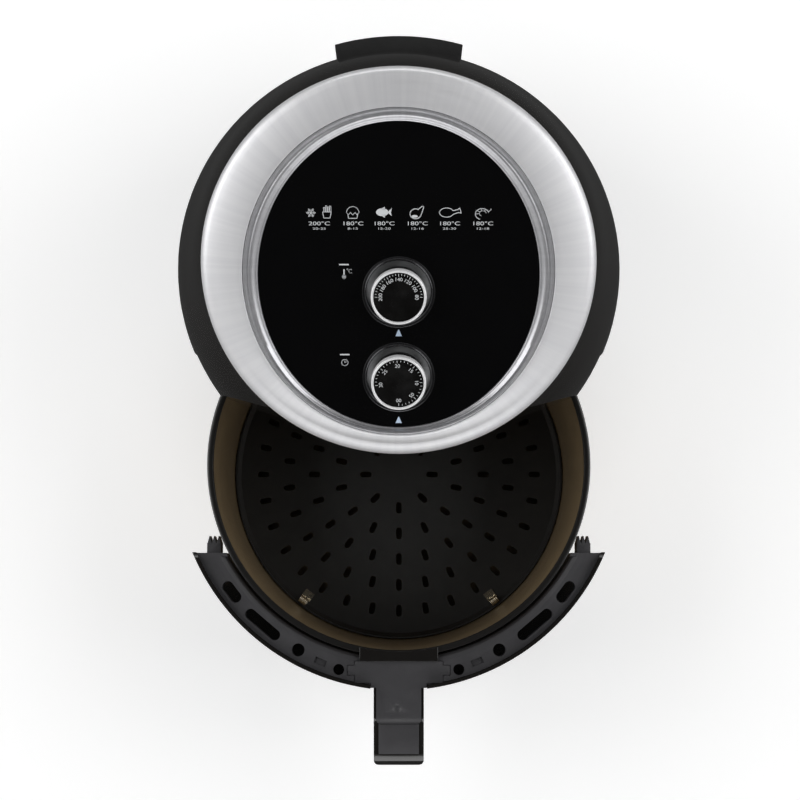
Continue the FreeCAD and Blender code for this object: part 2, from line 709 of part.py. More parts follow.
def pan_envelope():
    """The pan filled solid, for cutting what meets its outer wall."""
    t = PAN_WALL
    return turned([(0, PAN_Z0), (PAN_LOW_R + t - 4, PAN_Z0), (PAN_LOW_R + t, 39.2),
                   (PAN_IN_R + t, PAN_RIM_Z - 2), (0, PAN_RIM_Z - 2)])


def pan():
    saved("pan", pan_profile_face().revolve(V(0, 0, 0), Z, 360), moved=PULL)
    plate = box(-22, 22, -141, -120, 60, 149.5).cut(box(-20.5, 20.5, -139.5, 0, 50, 170))
    plate = plate.cut(pan_envelope())
    holes = [rod(2.05, V(x, -150, z), V(x, -130, z)) for x, z in PAN_SCREWS]
    saved("pan_bracket", plate.cut(Part.makeCompound(holes)), moved=PULL)
    screws = []
    for x, z in PAN_SCREWS:
        head = rod(4, V(x, -145.5, z), V(x, -143.5, z))
        screws.append(head.fuse(rod(2, V(x, -143.5, z), V(x, -138, z))))
    saved("pan_screws", *screws, moved=PULL)


PAN_SCREWS = [(-15, 80), (15, 80), (-15, 138), (15, 138)]
SHORT_SLOT = (17.0, 8.0, HOLE_R, 52.3)
LONG_SLOT = (30.0, 7.7, HOLE_R, 40.1)
ROUND_HOLES = ((9.0, 149.3, 28.25), (7.8, 151.2, 16.2))
RECESS = (8.5, 4.5, 150.2, 21.5)


def rim_holes(grow, z0, z1):
    """The slots and holes through the drawer's top flange, both sides of the handle."""
    shapes = []
    for side in (-1, 1):
        for length, width, radius, angle in (SHORT_SLOT, LONG_SLOT):
            shapes.append(slot(length + 2 * grow, width + 2 * grow, radius, side * angle, z0, z1))
        for across, radius, angle in ROUND_HOLES:
            hole = disc(across / 2 + grow, z0, z1, 0, -radius)
            shapes += around(hole, [side * angle])
    return shapes


def drawer_front_frame():
    behind = box(-REACH, REACH, -REACH, OPEN_Y - 1.5, 0, 300)
    skin_inside = barrel(SKIN + FIT)
    rim = turned([
        (FRAME_IN_R, 150),
        (FRAME_IN_R, FRAME_Z - 7),
        (FRAME_IN_R + 0.6, FRAME_Z - 4.2),
        (FRAME_IN_R + 2.2, FRAME_Z - 2.2),
        (FRAME_IN_R + 5, FRAME_Z - 0.8),
        (FRAME_FLAT_R, FRAME_Z),
        (170, FRAME_Z),
        (170, FRAME_Z - 2.5),
        (FRAME_IN_R + 7, FRAME_Z - 3.2),
        (FRAME_IN_R + 3, FRAME_Z - 5.4),
        (FRAME_IN_R + 2, FRAME_Z - 8),
        (FRAME_IN_R + 2, 150),
    ])
    ends = box(-170, 170, OPEN_Y - 4, OPEN_Y - 1.5, 20, FRAME_Z - 1).cut(disc(FRAME_IN_R, 0, 300))
    spine = box(-28, 28, -160, -141, 45, FRAME_Z - 2).cut(box(-25.5, 25.5, -170, -143.5, 30, 173.5))
    frame = rim.fuse([ends, spine] + rim_holes(1.6, FRAME_Z - 11, FRAME_Z - 2))
    frame = frame.common(behind).common(skin_inside)
    frame = frame.cut(Part.makeCompound(rim_holes(0, 100, 200)))
    width, depth, radius, angle = RECESS
    pocket = box(-width / 2, width / 2, -radius - depth / 2, -radius + depth / 2, FRAME_Z - 1.6, 200)
    frame = frame.cut(Part.makeCompound(around(pocket, [-angle, angle])))
    frame = frame.cut(Part.makeCompound(cross_plate(0.45, FRAME_Z - PLATE_DEEP - 0.2, 200)))
    frame = frame.cut(box(-PLATE_HALF - 0.3, PLATE_HALF + 0.3, -200, ARM_START + 1.8, FRAME_Z - 6, 200))
    holes = [rod(2.05, V(x, -150, z), V(x, -130, z)) for x, z in PAN_SCREWS]
    holes += [rod(1.7, V(x, -150, HANDLE_SCREW_Z), V(x, -130, HANDLE_SCREW_Z)) for x in (-9, 9)]
    holes += [rod(3.7, V(x, -141, HANDLE_SCREW_Z), V(x, -130, HANDLE_SCREW_Z)) for x in (-9, 9)]
    frame = frame.cut(Part.makeCompound(holes))
    solids = sorted(frame.Solids, key=lambda s: -s.Volume)
    saved("drawer_front_frame", solids[0], moved=PULL)


HANDLE_SCREW_Z = 163.0


def drawer_front_skin():
    shell = barrel_shell(SKIN).common(front_opening(0, 7.0))
    foot = tube(141.7, 130, OPEN_Z0 + GAP, OPEN_Z0 + GAP + SKIN)
    shell = shell.fuse(foot.common(box(-REACH, REACH, -REACH, OPEN_Y - GAP - 1.5, 0, 50)))
    notch = box(-20, 20, -200, -140, ARM_UNDER - 1, 200)
    notch = rounded(notch, 3, lambda e: runs_along(e, Y) and middle(e).z < 170)
    shell = shell.cut(notch)
    saved("drawer_front_skin", shell, moved=PULL)


CLIP_X0, CLIP_X1 = 126.2, 136.0
CLIP_Z0, CLIP_Z1 = 155.0, 171.0
CLIP_WALL = 1.6
CLIP_BACK = OPEN_Y + 5.5
TOOTH = 5.2


def latch_clips():
    """A hollow tongue with a three-toothed crown at each end of the drawer's front frame."""
    clips = []
    front = OPEN_Y - 1.5
    for side in (-1, 1):
        clip = box(CLIP_X0, CLIP_X1, front, CLIP_BACK, CLIP_Z0, CLIP_Z1)
        clip = clip.cut(box(CLIP_X0 + CLIP_WALL, CLIP_X1 - CLIP_WALL, front + CLIP_WALL, 0, 0, CLIP_Z1 - CLIP_WALL))
        pitch = (CLIP_X1 - CLIP_X0) / 3
        for x in (CLIP_X0, CLIP_X0 + pitch, CLIP_X0 + 2 * pitch):
            outline = [(x, CLIP_BACK), (x + pitch - 0.3, CLIP_BACK), (x + pitch / 2, CLIP_BACK + TOOTH)]
            clip = clip.fuse(prism(outline, CLIP_Z0, CLIP_Z1))
        clips.append(clip if side > 0 else clip.mirror(V(0, 0, 0), X))
    saved("latch_clips", *clips, moved=PULL)


# ---- handle -------------------------------------------------------------------------------------

NECK_HALF = 19.6
PLATE_DEEP = 1.6
ARM_START = -157.9


def cross_plate(grow, z0, z1):
    """The cross-shaped plate let into the flange where the handle joins the drawer."""
    return [
        box(-30.9 - grow, 30.9 + grow, -154.5 - grow, -139.6 + grow, z0, z1),
        box(-35.9 - grow, 35.9 + grow, -148.9 - grow, -142.4 + grow, z0, z1),
        box(-NECK_HALF - grow, NECK_HALF + grow, ARM_START - grow, -150, z0, z1),
    ]


def hook_outline():
    """The handle's side view: an arm that rolls over and turns down, open to the fingers."""
    return [
        (ARM_START - 0.1, ARM_TOP - 1.5),
        (ROLL_Y, ARM_TOP - 1.5),
        (STEP_Y + 2.5, ARM_TOP - 3.2),
        (STEP_Y, ARM_TOP - 4.5),
        (INLAY_END - 0.2, INLAY_END_Z - 0.2),
        (-209.5, 164.2),
        (-212, 160.5),
        (HANDLE_END, 156),
        (HANDLE_END, 99),
        (-210.5, 93.5),
        (-204, 92),
        (-199.5, 96),
        (-197.5, 144),
        (-192, ARM_UNDER - 1),
        (-186, ARM_UNDER),
        (ARM_START - 0.1, ARM_UNDER),
    ]


def insert_block(deep):
    """The thin satin inlay on top of the grip, or its pocket."""
    low = 1.6 + deep
    start, end = STEP_Y - 0.3 + deep, INLAY_END - deep
    return side_prism([
        (start, ARM_TOP - 4.3),
        (end, INLAY_END_Z),
        (end, INLAY_END_Z - low),
        (start, ARM_TOP - 4.6 - low),
    ], -14.2 - deep, 14.2 + deep)


def top_arm():
    """The plate along the arm's top, rolled over at its outer end, with flared fillets at the neck."""
    arm = side_prism([
        (ARM_START, ARM_TOP - 3.8),
        (ARM_START, ARM_TOP),
        (ROLL_Y, ARM_TOP),
        (ROLL_Y - 2.6, ARM_TOP - 0.5),
        (STEP_Y + 1.2, ARM_TOP - 2),
        (STEP_Y, ARM_TOP - 3.8),
    ], -PLATE_HALF, PLATE_HALF)
    plan = box(-PLATE_HALF, PLATE_HALF, STEP_Y, ARM_START, 150, 200)
    return arm.common(rounded(plan, 3, lambda e: runs_along(e, Z) and middle(e).y < STEP_Y + 1))


def handle():
    block = side_prism([
        (ARM_START, ARM_UNDER + 2),
        (ARM_START, FRAME_Z - 3.4),
        (-145.5, FRAME_Z - 4.2),
        (-145.5, FRAME_Z - 6),
        (-143.5, FRAME_Z - 7),
        (-143.5, ARM_UNDER + 2),
    ], -ARM_HALF, ARM_HALF)
    neck = box(-PLATE_HALF, PLATE_HALF, ARM_START, ARM_START + 1.5, FRAME_Z - 4.5, FRAME_Z - 1)
    plate = block.fuse(cross_plate(0, FRAME_Z - PLATE_DEEP, ARM_TOP) + [top_arm(), neck])
    dimple = Part.makeSphere(30)
    dimple.scale(0.2)
    dimple.translate(V(-1.2, -172, ARM_TOP + 5.0))
    plate = plate.cut(dimple)
    screw_holes = [rod(1.65, V(x, -152, HANDLE_SCREW_Z), V(x, -140, HANDLE_SCREW_Z)) for x in (-9, 9)]
    saved("handle_top_plate", plate.cut(Part.makeCompound(screw_holes)), moved=PULL)
    shell = side_prism(hook_outline(), -ARM_HALF, ARM_HALF)
    shell = rounded(shell, 4, lambda e: runs_along(e, Z) and middle(e).y < HANDLE_END + 1)
    under_plate = ARM_TOP - 3.9
    shell = shell.cut(box(-PLATE_HALF - 0.1, PLATE_HALF + 0.1, STEP_Y - 0.1, -150, under_plate, 200))
    shell = shell.cut(insert_block(0.1))
    saved("handle_shell", shell, moved=PULL)
    saved("handle_inlay", insert_block(0), moved=PULL)
    screws = []
    for x in (-9, 9):
        head = rod(3.5, V(x, -141, HANDLE_SCREW_Z), V(x, -139, HANDLE_SCREW_Z))
        screws.append(head.fuse(rod(1.6, V(x, -151.5, HANDLE_SCREW_Z), V(x, -141, HANDLE_SCREW_Z))))
    saved("handle_screws", *screws, moved=PULL)
    clip = box(-27.5, 27.5, -139.5, -120, FRAME_Z, FRAME_Z + 1.3).cut(disc(PAN_IN_R + 0.4, 0, 300))
    saved("rim_clip", clip, moved=PULL)


# ---- tray ---------------------------------------------------------------------------------------

SPRING_ANGLES = [-37, 37, 143, 217]


def tray():
    z = TRAY_Z
    plate = turned([
        (0, z),
        (TRAY_R - 4, z),
        (TRAY_R - 1.2, z + 3),
        (TRAY_R - 1.2, z + 5),
        (TRAY_R, z + 5),
        (TRAY_R, z + 2.4),
        (TRAY_R - 3.4, z - 1.2),
        (0, z - 1.2),
    ])
    holes = []
    for ring, count in ((26, 8), (46, 14), (66, 20), (86, 26), (106, 32)):
        hole = slot(9.0, 4.4, ring, 0, z - 5, z + 5)
        hole.rotate(V(0, -ring, 0), Z, 90)
        holes += around(hole, [360 / count * n for n in range(count)])
    saved("crisper_tray", plate.cut(Part.makeCompound(holes)), moved=PULL)
    foot = disc(5, PAN_Z0 + PAN_WALL + 0.3, z - 1.2, 0, -96)
    saved("tray_feet", *around(foot, [5.6, 95.6, 185.6, 275.6]), moved=PULL)
    coil = rod(3.2, V(-3.6, -(TRAY_R - 4.7), z + 6.6), V(3.6, -(TRAY_R - 4.7), z + 6.6))
    coil = coil.cut(rod(2.0, V(-5, -(TRAY_R - 4.7), z + 6.6), V(5, -(TRAY_R - 4.7), z + 6.6)))
    foot = box(-4, 4, -(TRAY_R - 6), -(TRAY_R - 13), z, z + 1.2)
    saved("tray_springs", *around(coil, SPRING_ANGLES), moved=PULL)
    saved("tray_spring_clips", *around(foot, SPRING_ANGLES), moved=PULL)


# ---- everything ---------------------------------------------------------------------------------

outer_housing()
base_plate()
rear_outlet()
cord_gland()
top_ring()
panel_bezel()
control_panel()
knob_dishes()
knob("temp", TEMP_Y)
knob("timer", TIMER_Y)
control_bracket()
thermostat()
timer()
chassis()
drawer_switch()
heater_chamber()
heating_element()
motor()
fans()
top_electrics()
inner_liner()
drawer_rails()
pan()
drawer_front_frame()
drawer_front_skin()
latch_clips()
handle()
tray()
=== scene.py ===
import json
import math
import bmesh
import bpy
from mathutils import Matrix, Vector

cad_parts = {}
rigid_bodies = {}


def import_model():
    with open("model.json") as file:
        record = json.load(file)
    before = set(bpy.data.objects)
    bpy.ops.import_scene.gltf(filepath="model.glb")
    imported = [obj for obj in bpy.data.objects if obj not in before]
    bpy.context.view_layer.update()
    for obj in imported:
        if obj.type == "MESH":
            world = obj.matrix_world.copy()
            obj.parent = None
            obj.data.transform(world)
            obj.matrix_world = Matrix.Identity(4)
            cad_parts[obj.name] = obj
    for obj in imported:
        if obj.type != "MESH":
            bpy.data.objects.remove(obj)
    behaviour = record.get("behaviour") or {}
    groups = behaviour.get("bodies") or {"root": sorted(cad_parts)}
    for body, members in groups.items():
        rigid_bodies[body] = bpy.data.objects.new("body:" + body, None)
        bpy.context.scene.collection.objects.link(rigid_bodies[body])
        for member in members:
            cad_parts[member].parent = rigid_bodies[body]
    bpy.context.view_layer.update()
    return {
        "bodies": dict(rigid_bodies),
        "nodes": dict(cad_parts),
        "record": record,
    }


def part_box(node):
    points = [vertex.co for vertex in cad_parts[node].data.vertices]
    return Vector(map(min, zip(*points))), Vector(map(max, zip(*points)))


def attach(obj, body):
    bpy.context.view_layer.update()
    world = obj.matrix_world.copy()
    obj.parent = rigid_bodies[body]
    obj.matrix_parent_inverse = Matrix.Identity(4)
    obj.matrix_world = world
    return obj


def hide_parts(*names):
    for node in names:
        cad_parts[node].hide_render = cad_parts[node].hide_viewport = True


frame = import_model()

# A pot-shaped hot-air fryer with its drawer pulled out, seen from almost straight above.
# Metres, in the CAD model's own frame. The lid's own frame has its origin at LID_AT and is tilted
# back by SLOPE about X: local +Z is the lid's outward normal, local +Y runs up the slope.

MM = 0.001
SLOPE = math.radians(23)
AXIS_Y = 93 * MM
LID_AT = Vector((0, AXIS_Y - 21 * MM, 292 * MM))
LID = Matrix.Translation(LID_AT) @ Matrix.Rotation(SLOPE, 4, "X")
NODES = frame["nodes"]
SLOTS = {part["node"]: part["material_slot"] for part in frame["record"]["subparts"]}
# The dials' places and the printed faces' heights, in mm in the lid's frame.
TEMP_Y, TIMER_Y = -18.3, -76.3
KNOB_FACE, PANEL_FACE = 16.07, 0.37
SHAFT_GAP = 3.06

SPRING_ANGLES = (-37, 37, 143, 217)
SPRING_INSET = 4.7 * MM
AXIAL = Vector((1, 0, 0))


# ---- materials ------------------------------------------------------------------------------------

class Finish:
    """A material under construction: a Principled shader and short calls for the nodes that feed it."""

    def __init__(self, name, colour, roughness, metallic=0.0, **sockets):
        self.material = bpy.data.materials.new(name)
        self.material.use_nodes = True
        self.tree = self.material.node_tree
        self.shader = self.tree.nodes["Principled BSDF"]
        self.set(self.shader, "Base Color", (*colour, 1))
        self.set(self.shader, "Roughness", roughness)
        self.set(self.shader, "Metallic", metallic)
        for socket, value in sockets.items():
            self.set(self.shader, socket.replace("_", " "), value)
        self.where = self.add("ShaderNodeTexCoord").outputs["Object"]

    def add(self, kind, **fields):
        node = self.tree.nodes.new(kind)
        for field, value in fields.items():
            setattr(node, field, value)
        return node

    def set(self, node, socket, value):
        if isinstance(value, bpy.types.NodeSocket):
            self.tree.links.new(value, node.inputs[socket])
        else:
            node.inputs[socket].default_value = value

    def noise(self, scale, detail=3.0, roughness=0.5, vector=None, stretch=(1, 1, 1)):
        mapping = self.add("ShaderNodeMapping")
        self.set(mapping, "Vector", vector or self.where)
        self.set(mapping, "Scale", stretch)
        node = self.add("ShaderNodeTexNoise")
        self.set(node, "Vector", mapping.outputs[0])
        self.set(node, "Scale", scale)
        self.set(node, "Detail", detail)
        self.set(node, "Roughness", roughness)
        return node.outputs["Fac"]

    def cells(self, scale, vector=None):
        node = self.add("ShaderNodeTexVoronoi")
        self.set(node, "Vector", vector or self.where)
        self.set(node, "Scale", scale)
        return node.outputs["Distance"]

    def spread(self, value, low, high, start=0.3, end=0.7):
        node = self.add("ShaderNodeMapRange")
        self.set(node, "Value", value)
        for socket, number in (("From Min", start), ("From Max", end), ("To Min", low), ("To Max", high)):
            self.set(node, socket, number)
        return node.outputs[0]

    def blend(self, factor, dark, light):
        node = self.add("ShaderNodeMix", data_type="RGBA")
        self.tree.links.new(factor, node.inputs["Factor"])
        node.inputs["A"].default_value = (*dark, 1)
        node.inputs["B"].default_value = (*light, 1)
        return node.outputs["Result"]

    def math(self, operation, a, b=0.0):
        node = self.add("ShaderNodeMath", operation=operation)
        self.set(node, 0, a)
        self.set(node, 1, b)
        return node.outputs[0]

    def bump(self, *layers):
        """Stacks (height, strength, distance) layers of relief."""
        normal = None
        for height, strength, distance in layers:
            node = self.add("ShaderNodeBump")
            self.set(node, "Strength", strength)
            self.set(node, "Distance", distance)
            self.set(node, "Height", height)
            if normal:
                self.set(node, "Normal", normal)
            normal = node.outputs[0]
        self.set(self.shader, "Normal", normal)

    def polar(self, matrix):
        """(angle, radius, height) as a vector, about the Z axis of the frame that matrix stands for."""
        place, turn, _ = matrix.decompose()
        mapping = self.add("ShaderNodeMapping", vector_type="TEXTURE")
        self.set(mapping, "Vector", self.where)
        self.set(mapping, "Location", place)
        self.set(mapping, "Rotation", turn.to_euler())
        parts = self.add("ShaderNodeSeparateXYZ")
        self.set(parts, 0, mapping.outputs[0])
        x, y, z = parts.outputs
        radius = self.math("SQRT", self.math("ADD", self.math("MULTIPLY", x, x), self.math("MULTIPLY", y, y)))
        joined = self.add("ShaderNodeCombineXYZ")
        self.set(joined, 0, self.math("ARCTAN2", y, x))
        self.set(joined, 1, radius)
        self.set(joined, 2, z)
        return joined.outputs[0]


def gloss_plastic(name, colour, roughness=0.12, haze=0.06):
    f = Finish(name, colour, roughness, Coat_Weight=0.6, Coat_Roughness=0.05, Specular_IOR_Level=0.45)
    wipe = f.noise(9, 5, 0.6)
    f.set(f.shader, "Roughness", f.spread(wipe, roughness, roughness + haze))
    f.set(f.shader, "Base Color", f.blend(f.noise(60, 4), colour, tuple(c * 1.35 for c in colour)))
    f.bump((f.noise(220, 2), 0.05, 0.0004), (f.noise(5, 2), 0.02, 0.004))
    return f.material


def textured_plastic(name, colour, light, roughness, grain=1400, relief=0.22):
    f = Finish(name, colour, roughness, Specular_IOR_Level=0.42)
    worn = f.noise(26, 5, 0.65)
    f.set(f.shader, "Base Color", f.blend(f.spread(worn, 0, 1, 0.35, 0.75), colour, light))
    f.set(f.shader, "Roughness", f.spread(f.noise(90, 4), roughness - 0.05, roughness + 0.09))
    f.bump((f.cells(grain), relief, 0.0002), (f.noise(320, 3), relief * 0.5, 0.0003))
    return f.material


def spun_metal(name, colour, dark, roughness, frame_matrix, grooves=2600, relief=0.06, metallic=1.0):
    """Metal or metallic lacquer with a fine grain that runs round an axis, and radial streaks of painted
    highlight in its colour.
    """
    f = Finish(name, colour, roughness, metallic=metallic)
    place = f.polar(frame_matrix)
    grain = f.noise(1, 4, 0.7, place, (3.0, grooves, grooves))
    # Painted highlight: the base colour swings between dark and colour with the angle round the axis, radial
    # streaks that stand in for the lathe grooves' reflections.
    painted_highlight_rays = f.noise(1, 3, 0.6, place, (26, 3.0, 3.0))
    f.set(f.shader, "Base Color", f.blend(f.spread(painted_highlight_rays, 0, 1, 0.35, 0.65), dark, colour))
    f.set(f.shader, "Roughness", f.spread(grain, roughness - 0.04, roughness + 0.07))
    f.bump((grain, relief, 0.00012))
    return f.material


def sheet_metal(name, colour, dark, roughness, stretch=(1, 1, 30), relief=0.12):
    f = Finish(name, colour, roughness, metallic=1.0)
    grain = f.noise(60, 5, 0.7, stretch=stretch)
    spangle = f.cells(70)
    f.set(f.shader, "Base Color", f.blend(f.spread(grain, 0, 1), dark, colour))
    f.set(f.shader, "Roughness", f.spread(spangle, roughness - 0.05, roughness + 0.1, 0, 0.6))
    f.bump((grain, relief, 0.0002))
    return f.material


def coated_metal(name, colour, light, roughness, fleck=2400):
    """A sprayed non-stick coating: fine flecks, a faint mottle and a soft sheen."""
    f = Finish(name, colour, roughness, Coat_Weight=0.35, Coat_Roughness=0.22, Specular_IOR_Level=0.6)
    mottle = f.noise(70, 5, 0.7)
    flecks = f.cells(fleck)
    f.set(f.shader, "Base Color", f.blend(f.spread(mottle, 0, 1), colour, light))
    f.set(f.shader, "Roughness", f.spread(flecks, roughness - 0.06, roughness + 0.1, 0, 0.7))
    f.bump((flecks, 0.12, 0.0002), (f.noise(420, 2), 0.1, 0.0003))
    return f.material


def chrome(name, colour, roughness=0.06, metallic=1.0):
    f = Finish(name, colour, roughness, metallic=metallic)
    f.set(f.shader, "Roughness", f.spread(f.noise(300, 4, 0.7), roughness, roughness + 0.08))
    f.bump((f.noise(900, 2), 0.03, 0.0001))
    return f.material


def ink(name, colour):
    f = Finish(name, colour, 0.5)
    worn = f.spread(f.noise(2600, 3, 0.8), 0, 1)
    f.set(f.shader, "Base Color", f.blend(worn, tuple(c * 0.86 for c in colour), colour))
    f.bump((f.noise(1800, 2), 0.08, 0.00005))
    return f.material


def rubber(name):
    f = Finish(name, (0.02, 0.02, 0.02), 0.75)
    bloom = f.spread(f.noise(140, 4), 0, 1)
    f.set(f.shader, "Base Color", f.blend(bloom, (0.016, 0.016, 0.016), (0.034, 0.033, 0.032)))
    f.bump((f.noise(700, 3), 0.2, 0.0003))
    return f.material


FINISHES = {
    "gloss_black": gloss_plastic("gloss_black", (0.0085, 0.0077, 0.0070), 0.15),
    "panel_black": gloss_plastic("panel_black", (0.0018, 0.0018, 0.002), 0.05, 0.03),
    # Each silver's second colour is the darker side of its painted highlight streaks.
    "satin_silver": spun_metal(
        "satin_silver", (0.86, 0.86, 0.875), (0.81, 0.81, 0.83), 0.48, LID, 1800, 0.04, 0.62),
    "bezel_silver": spun_metal(
        "bezel_silver", (0.62, 0.62, 0.64), (0.56, 0.56, 0.58), 0.34, LID, 1800, 0.04, 0.75),
    "knob_black": textured_plastic(
        "knob_black", (0.0028, 0.0026, 0.0025), (0.0045, 0.0042, 0.004), 0.24, 2600, 0.02),
    "knob_chrome": chrome("knob_chrome", (0.95, 0.95, 0.96), 0.26, 0.22),
    "satin_grey_plastic": textured_plastic(
        "satin_grey_plastic", (0.040, 0.039, 0.042), (0.054, 0.053, 0.057), 0.46),
    "rear_black": textured_plastic("rear_black", (0.003, 0.003, 0.003), (0.006, 0.006, 0.006), 0.7),
    "black_plastic": textured_plastic("black_plastic", (0.014, 0.014, 0.015), (0.024, 0.024, 0.026), 0.5),
    "rubber": rubber("rubber"),
    "nonstick": coated_metal("nonstick", (0.21, 0.150, 0.080), (0.27, 0.195, 0.105), 0.32),
    "tray_black": coated_metal("tray_black", (0.007, 0.0066, 0.006), (0.014, 0.013, 0.012), 0.42),
    "spring_steel": chrome("spring_steel", (0.86, 0.78, 0.62), 0.16),
    "zinc_steel": sheet_metal("zinc_steel", (0.60, 0.61, 0.62), (0.5, 0.51, 0.52), 0.38),
    "liner_steel": sheet_metal("liner_steel", (0.56, 0.555, 0.545), (0.45, 0.445, 0.44), 0.36),
    "screw_steel": chrome("screw_steel", (0.5, 0.5, 0.51), 0.24),
    "heater_steel": sheet_metal("heater_steel", (0.34, 0.32, 0.30), (0.2, 0.17, 0.15), 0.42),
    "fan_aluminium": sheet_metal("fan_aluminium", (0.74, 0.74, 0.75), (0.62, 0.62, 0.63), 0.36),
    "copper": sheet_metal("copper", (0.72, 0.36, 0.17), (0.5, 0.22, 0.1), 0.3, (1, 1, 60)),
    "core_steel": sheet_metal("core_steel", (0.24, 0.24, 0.25), (0.16, 0.16, 0.17), 0.5, (1, 1, 90), 0.3),
    "bearing_bronze": sheet_metal("bearing_bronze", (0.55, 0.40, 0.22), (0.4, 0.28, 0.15), 0.4),
    "ceramic": textured_plastic("ceramic", (0.70, 0.67, 0.60), (0.80, 0.78, 0.72), 0.34, 900, 0.08),
    "heatproof_black": textured_plastic("heatproof_black", (0.02, 0.02, 0.02), (0.035, 0.034, 0.033), 0.55),
}
WHITE_INK = ink("white_ink", (0.80, 0.82, 0.84))
BLUE_INK = ink("pale_blue_ink", (0.60, 0.74, 0.92))
SURROUND_EDGE = chrome("surround_edge", (0.10, 0.10, 0.105), 0.12, 0.8)
RIM_BLACK = gloss_plastic("pan_rim_black", (0.006, 0.0055, 0.005), 0.3)


def paint(piece, finish):
    piece.data.materials.clear()
    piece.data.materials.append(finish)


def paint_cad():
    for part in frame["record"]["subparts"]:
        paint(NODES[part["node"]], FINISHES[part["material_slot"]])


# ---- shaped pieces --------------------------------------------------------------------------------

def body_of(node):
    return next(name for name, empty in frame["bodies"].items() if empty == NODES[node].parent)


def stand_in(name, build, like, finish=None, replaces=()):
    """A mesh piece from a bmesh, riding with the CAD node it is like, and wearing that node's finish."""
    bmesh.ops.recalc_face_normals(build, faces=build.faces)
    mesh = bpy.data.meshes.new(name)
    build.to_mesh(mesh)
    build.free()
    mesh.set_sharp_from_angle(angle=math.radians(38))
    piece = bpy.data.objects.new(name, mesh)
    bpy.context.scene.collection.objects.link(piece)
    mesh.materials.append(finish or FINISHES[SLOTS[like]])
    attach(piece, body_of(like))
    if replaces:
        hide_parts(*replaces)
    return piece


def band(build, profile, sides=256):
    """A band swept round the lid from a loop of (half width, half length, middle y, height) in mm."""
    rows = []
    for n in range(sides):
        turn = 2 * math.pi * n / sides
        rows.append([
            build.verts.new(LID @ (Vector((a * math.cos(turn), y + b * math.sin(turn), h)) * MM))
            for a, b, y, h in profile
        ])
    for n, row in enumerate(rows):
        after = rows[(n + 1) % sides]
        for k in range(len(profile)):
            m = (k + 1) % len(profile)
            build.faces.new((row[k], row[m], after[m], after[k])).smooth = True


def round_band(build, middle_y, profile, sides=128):
    band(build, [(r, r, middle_y, h) for r, h in profile], sides)


def ring_and_bezel():
    build = bmesh.new()
    band(build, [
        (129.8, 129.8, -2.7, -7.9), (129.8, 129.8, -2.7, -6.2), (129.5, 129.6, -2.6, -4.6),
        (128.6, 128.8, -2.1, -3.0), (127.2, 127.5, -1.3, -1.5), (125.6, 125.8, -0.3, -0.5),
        (124.0, 124.2, 0.6, 0.1), (121.0, 122.2, -0.3, 1.1), (117.0, 119.4, -1.8, 2.2),
        (112.0, 116.0, -3.4, 3.3), (107.0, 112.6, -5.0, 4.1), (103.6, 110.6, -6.2, 4.5),
        (102.4, 109.7, -6.6, 4.45), (102.0, 109.3, -6.6, 4.0), (102.0, 109.3, -6.6, 1.5),
        (118.0, 119.4, -2.2, -2.4), (126.4, 126.6, -2.7, -7.9),
    ])
    stand_in("ring_band", build, "top_ring", replaces=["top_ring"])
    build = bmesh.new()
    band(build, [
        (101.7, 109.0, -6.6, -3.9), (101.7, 109.0, -6.6, 3.9), (101.4, 108.7, -6.6, 4.35),
        (100.8, 108.1, -6.6, 4.5), (100.2, 107.5, -6.7, 4.3), (99.8, 107.2, -6.8, 3.4),
        (99.2, 106.8, -7.0, 2.7), (98.4, 106.3, -7.2, 2.6), (97.7, 105.9, -7.4, 2.9),
        (97.3, 105.7, -7.6, 3.4), (96.8, 105.4, -7.8, 3.45), (95.2, 104.6, -8.3, 2.7),
        (93.9, 103.9, -8.7, 1.9), (93.4, 103.6, -8.9, 1.8), (93.1, 103.4, -9.0, 1.2),
        (92.7, 103.1, -9.1, 1.1), (92.3, 102.7, -9.1, 0.9), (92.1, 102.6, -9.1, 0.3),
        (92.1, 102.6, -9.1, -2.7),
    ])
    stand_in("bezel_band", build, "panel_bezel", replaces=["panel_bezel"])


def knob(which, middle_y):
    build = bmesh.new()
    round_band(build, middle_y, [
        (16.45, 11.0), (18.1, 11.0), (18.1, 16.5), (17.95, 17.1), (17.55, 17.45), (17.1, 17.5),
        (16.75, 17.35), (16.5, 16.95), (16.45, 16.0),
    ])
    stand_in(which + "_rim", build, which + "_knob_ring", replaces=[which + "_knob_ring"])
    build = bmesh.new()
    round_band(build, middle_y, [
        (SHAFT_GAP, 0.2), (16.7, 0.2), (17.1, 0.5), (17.2, 1.0), (17.2, 10.6), (16.9, 11.0), (16.4, 11.05),
        (16.4, 16.0), (13.0, 15.9), (SHAFT_GAP, 15.9),
    ])
    face = build.faces.new([v for v in build.verts][9::10])
    face.smooth = True
    stand_in(which + "_grip", build, which + "_knob", replaces=[which + "_knob"])


def dial_surrounds():
    build = bmesh.new()
    for middle_y in (TEMP_Y, TIMER_Y):
        round_band(build, middle_y - 0.4, [
            (24.0, 0.25), (23.95, 0.8), (23.75, 1.1), (23.45, 1.15), (23.2, 0.9), (22.9, 0.55),
            (22.3, 0.5), (22.0, 0.75), (21.75, 0.8), (21.5, 0.6), (21.2, 0.25),
        ])
    stand_in("dial_surrounds", build, "knob_bezels", SURROUND_EDGE, ["knob_bezels"])


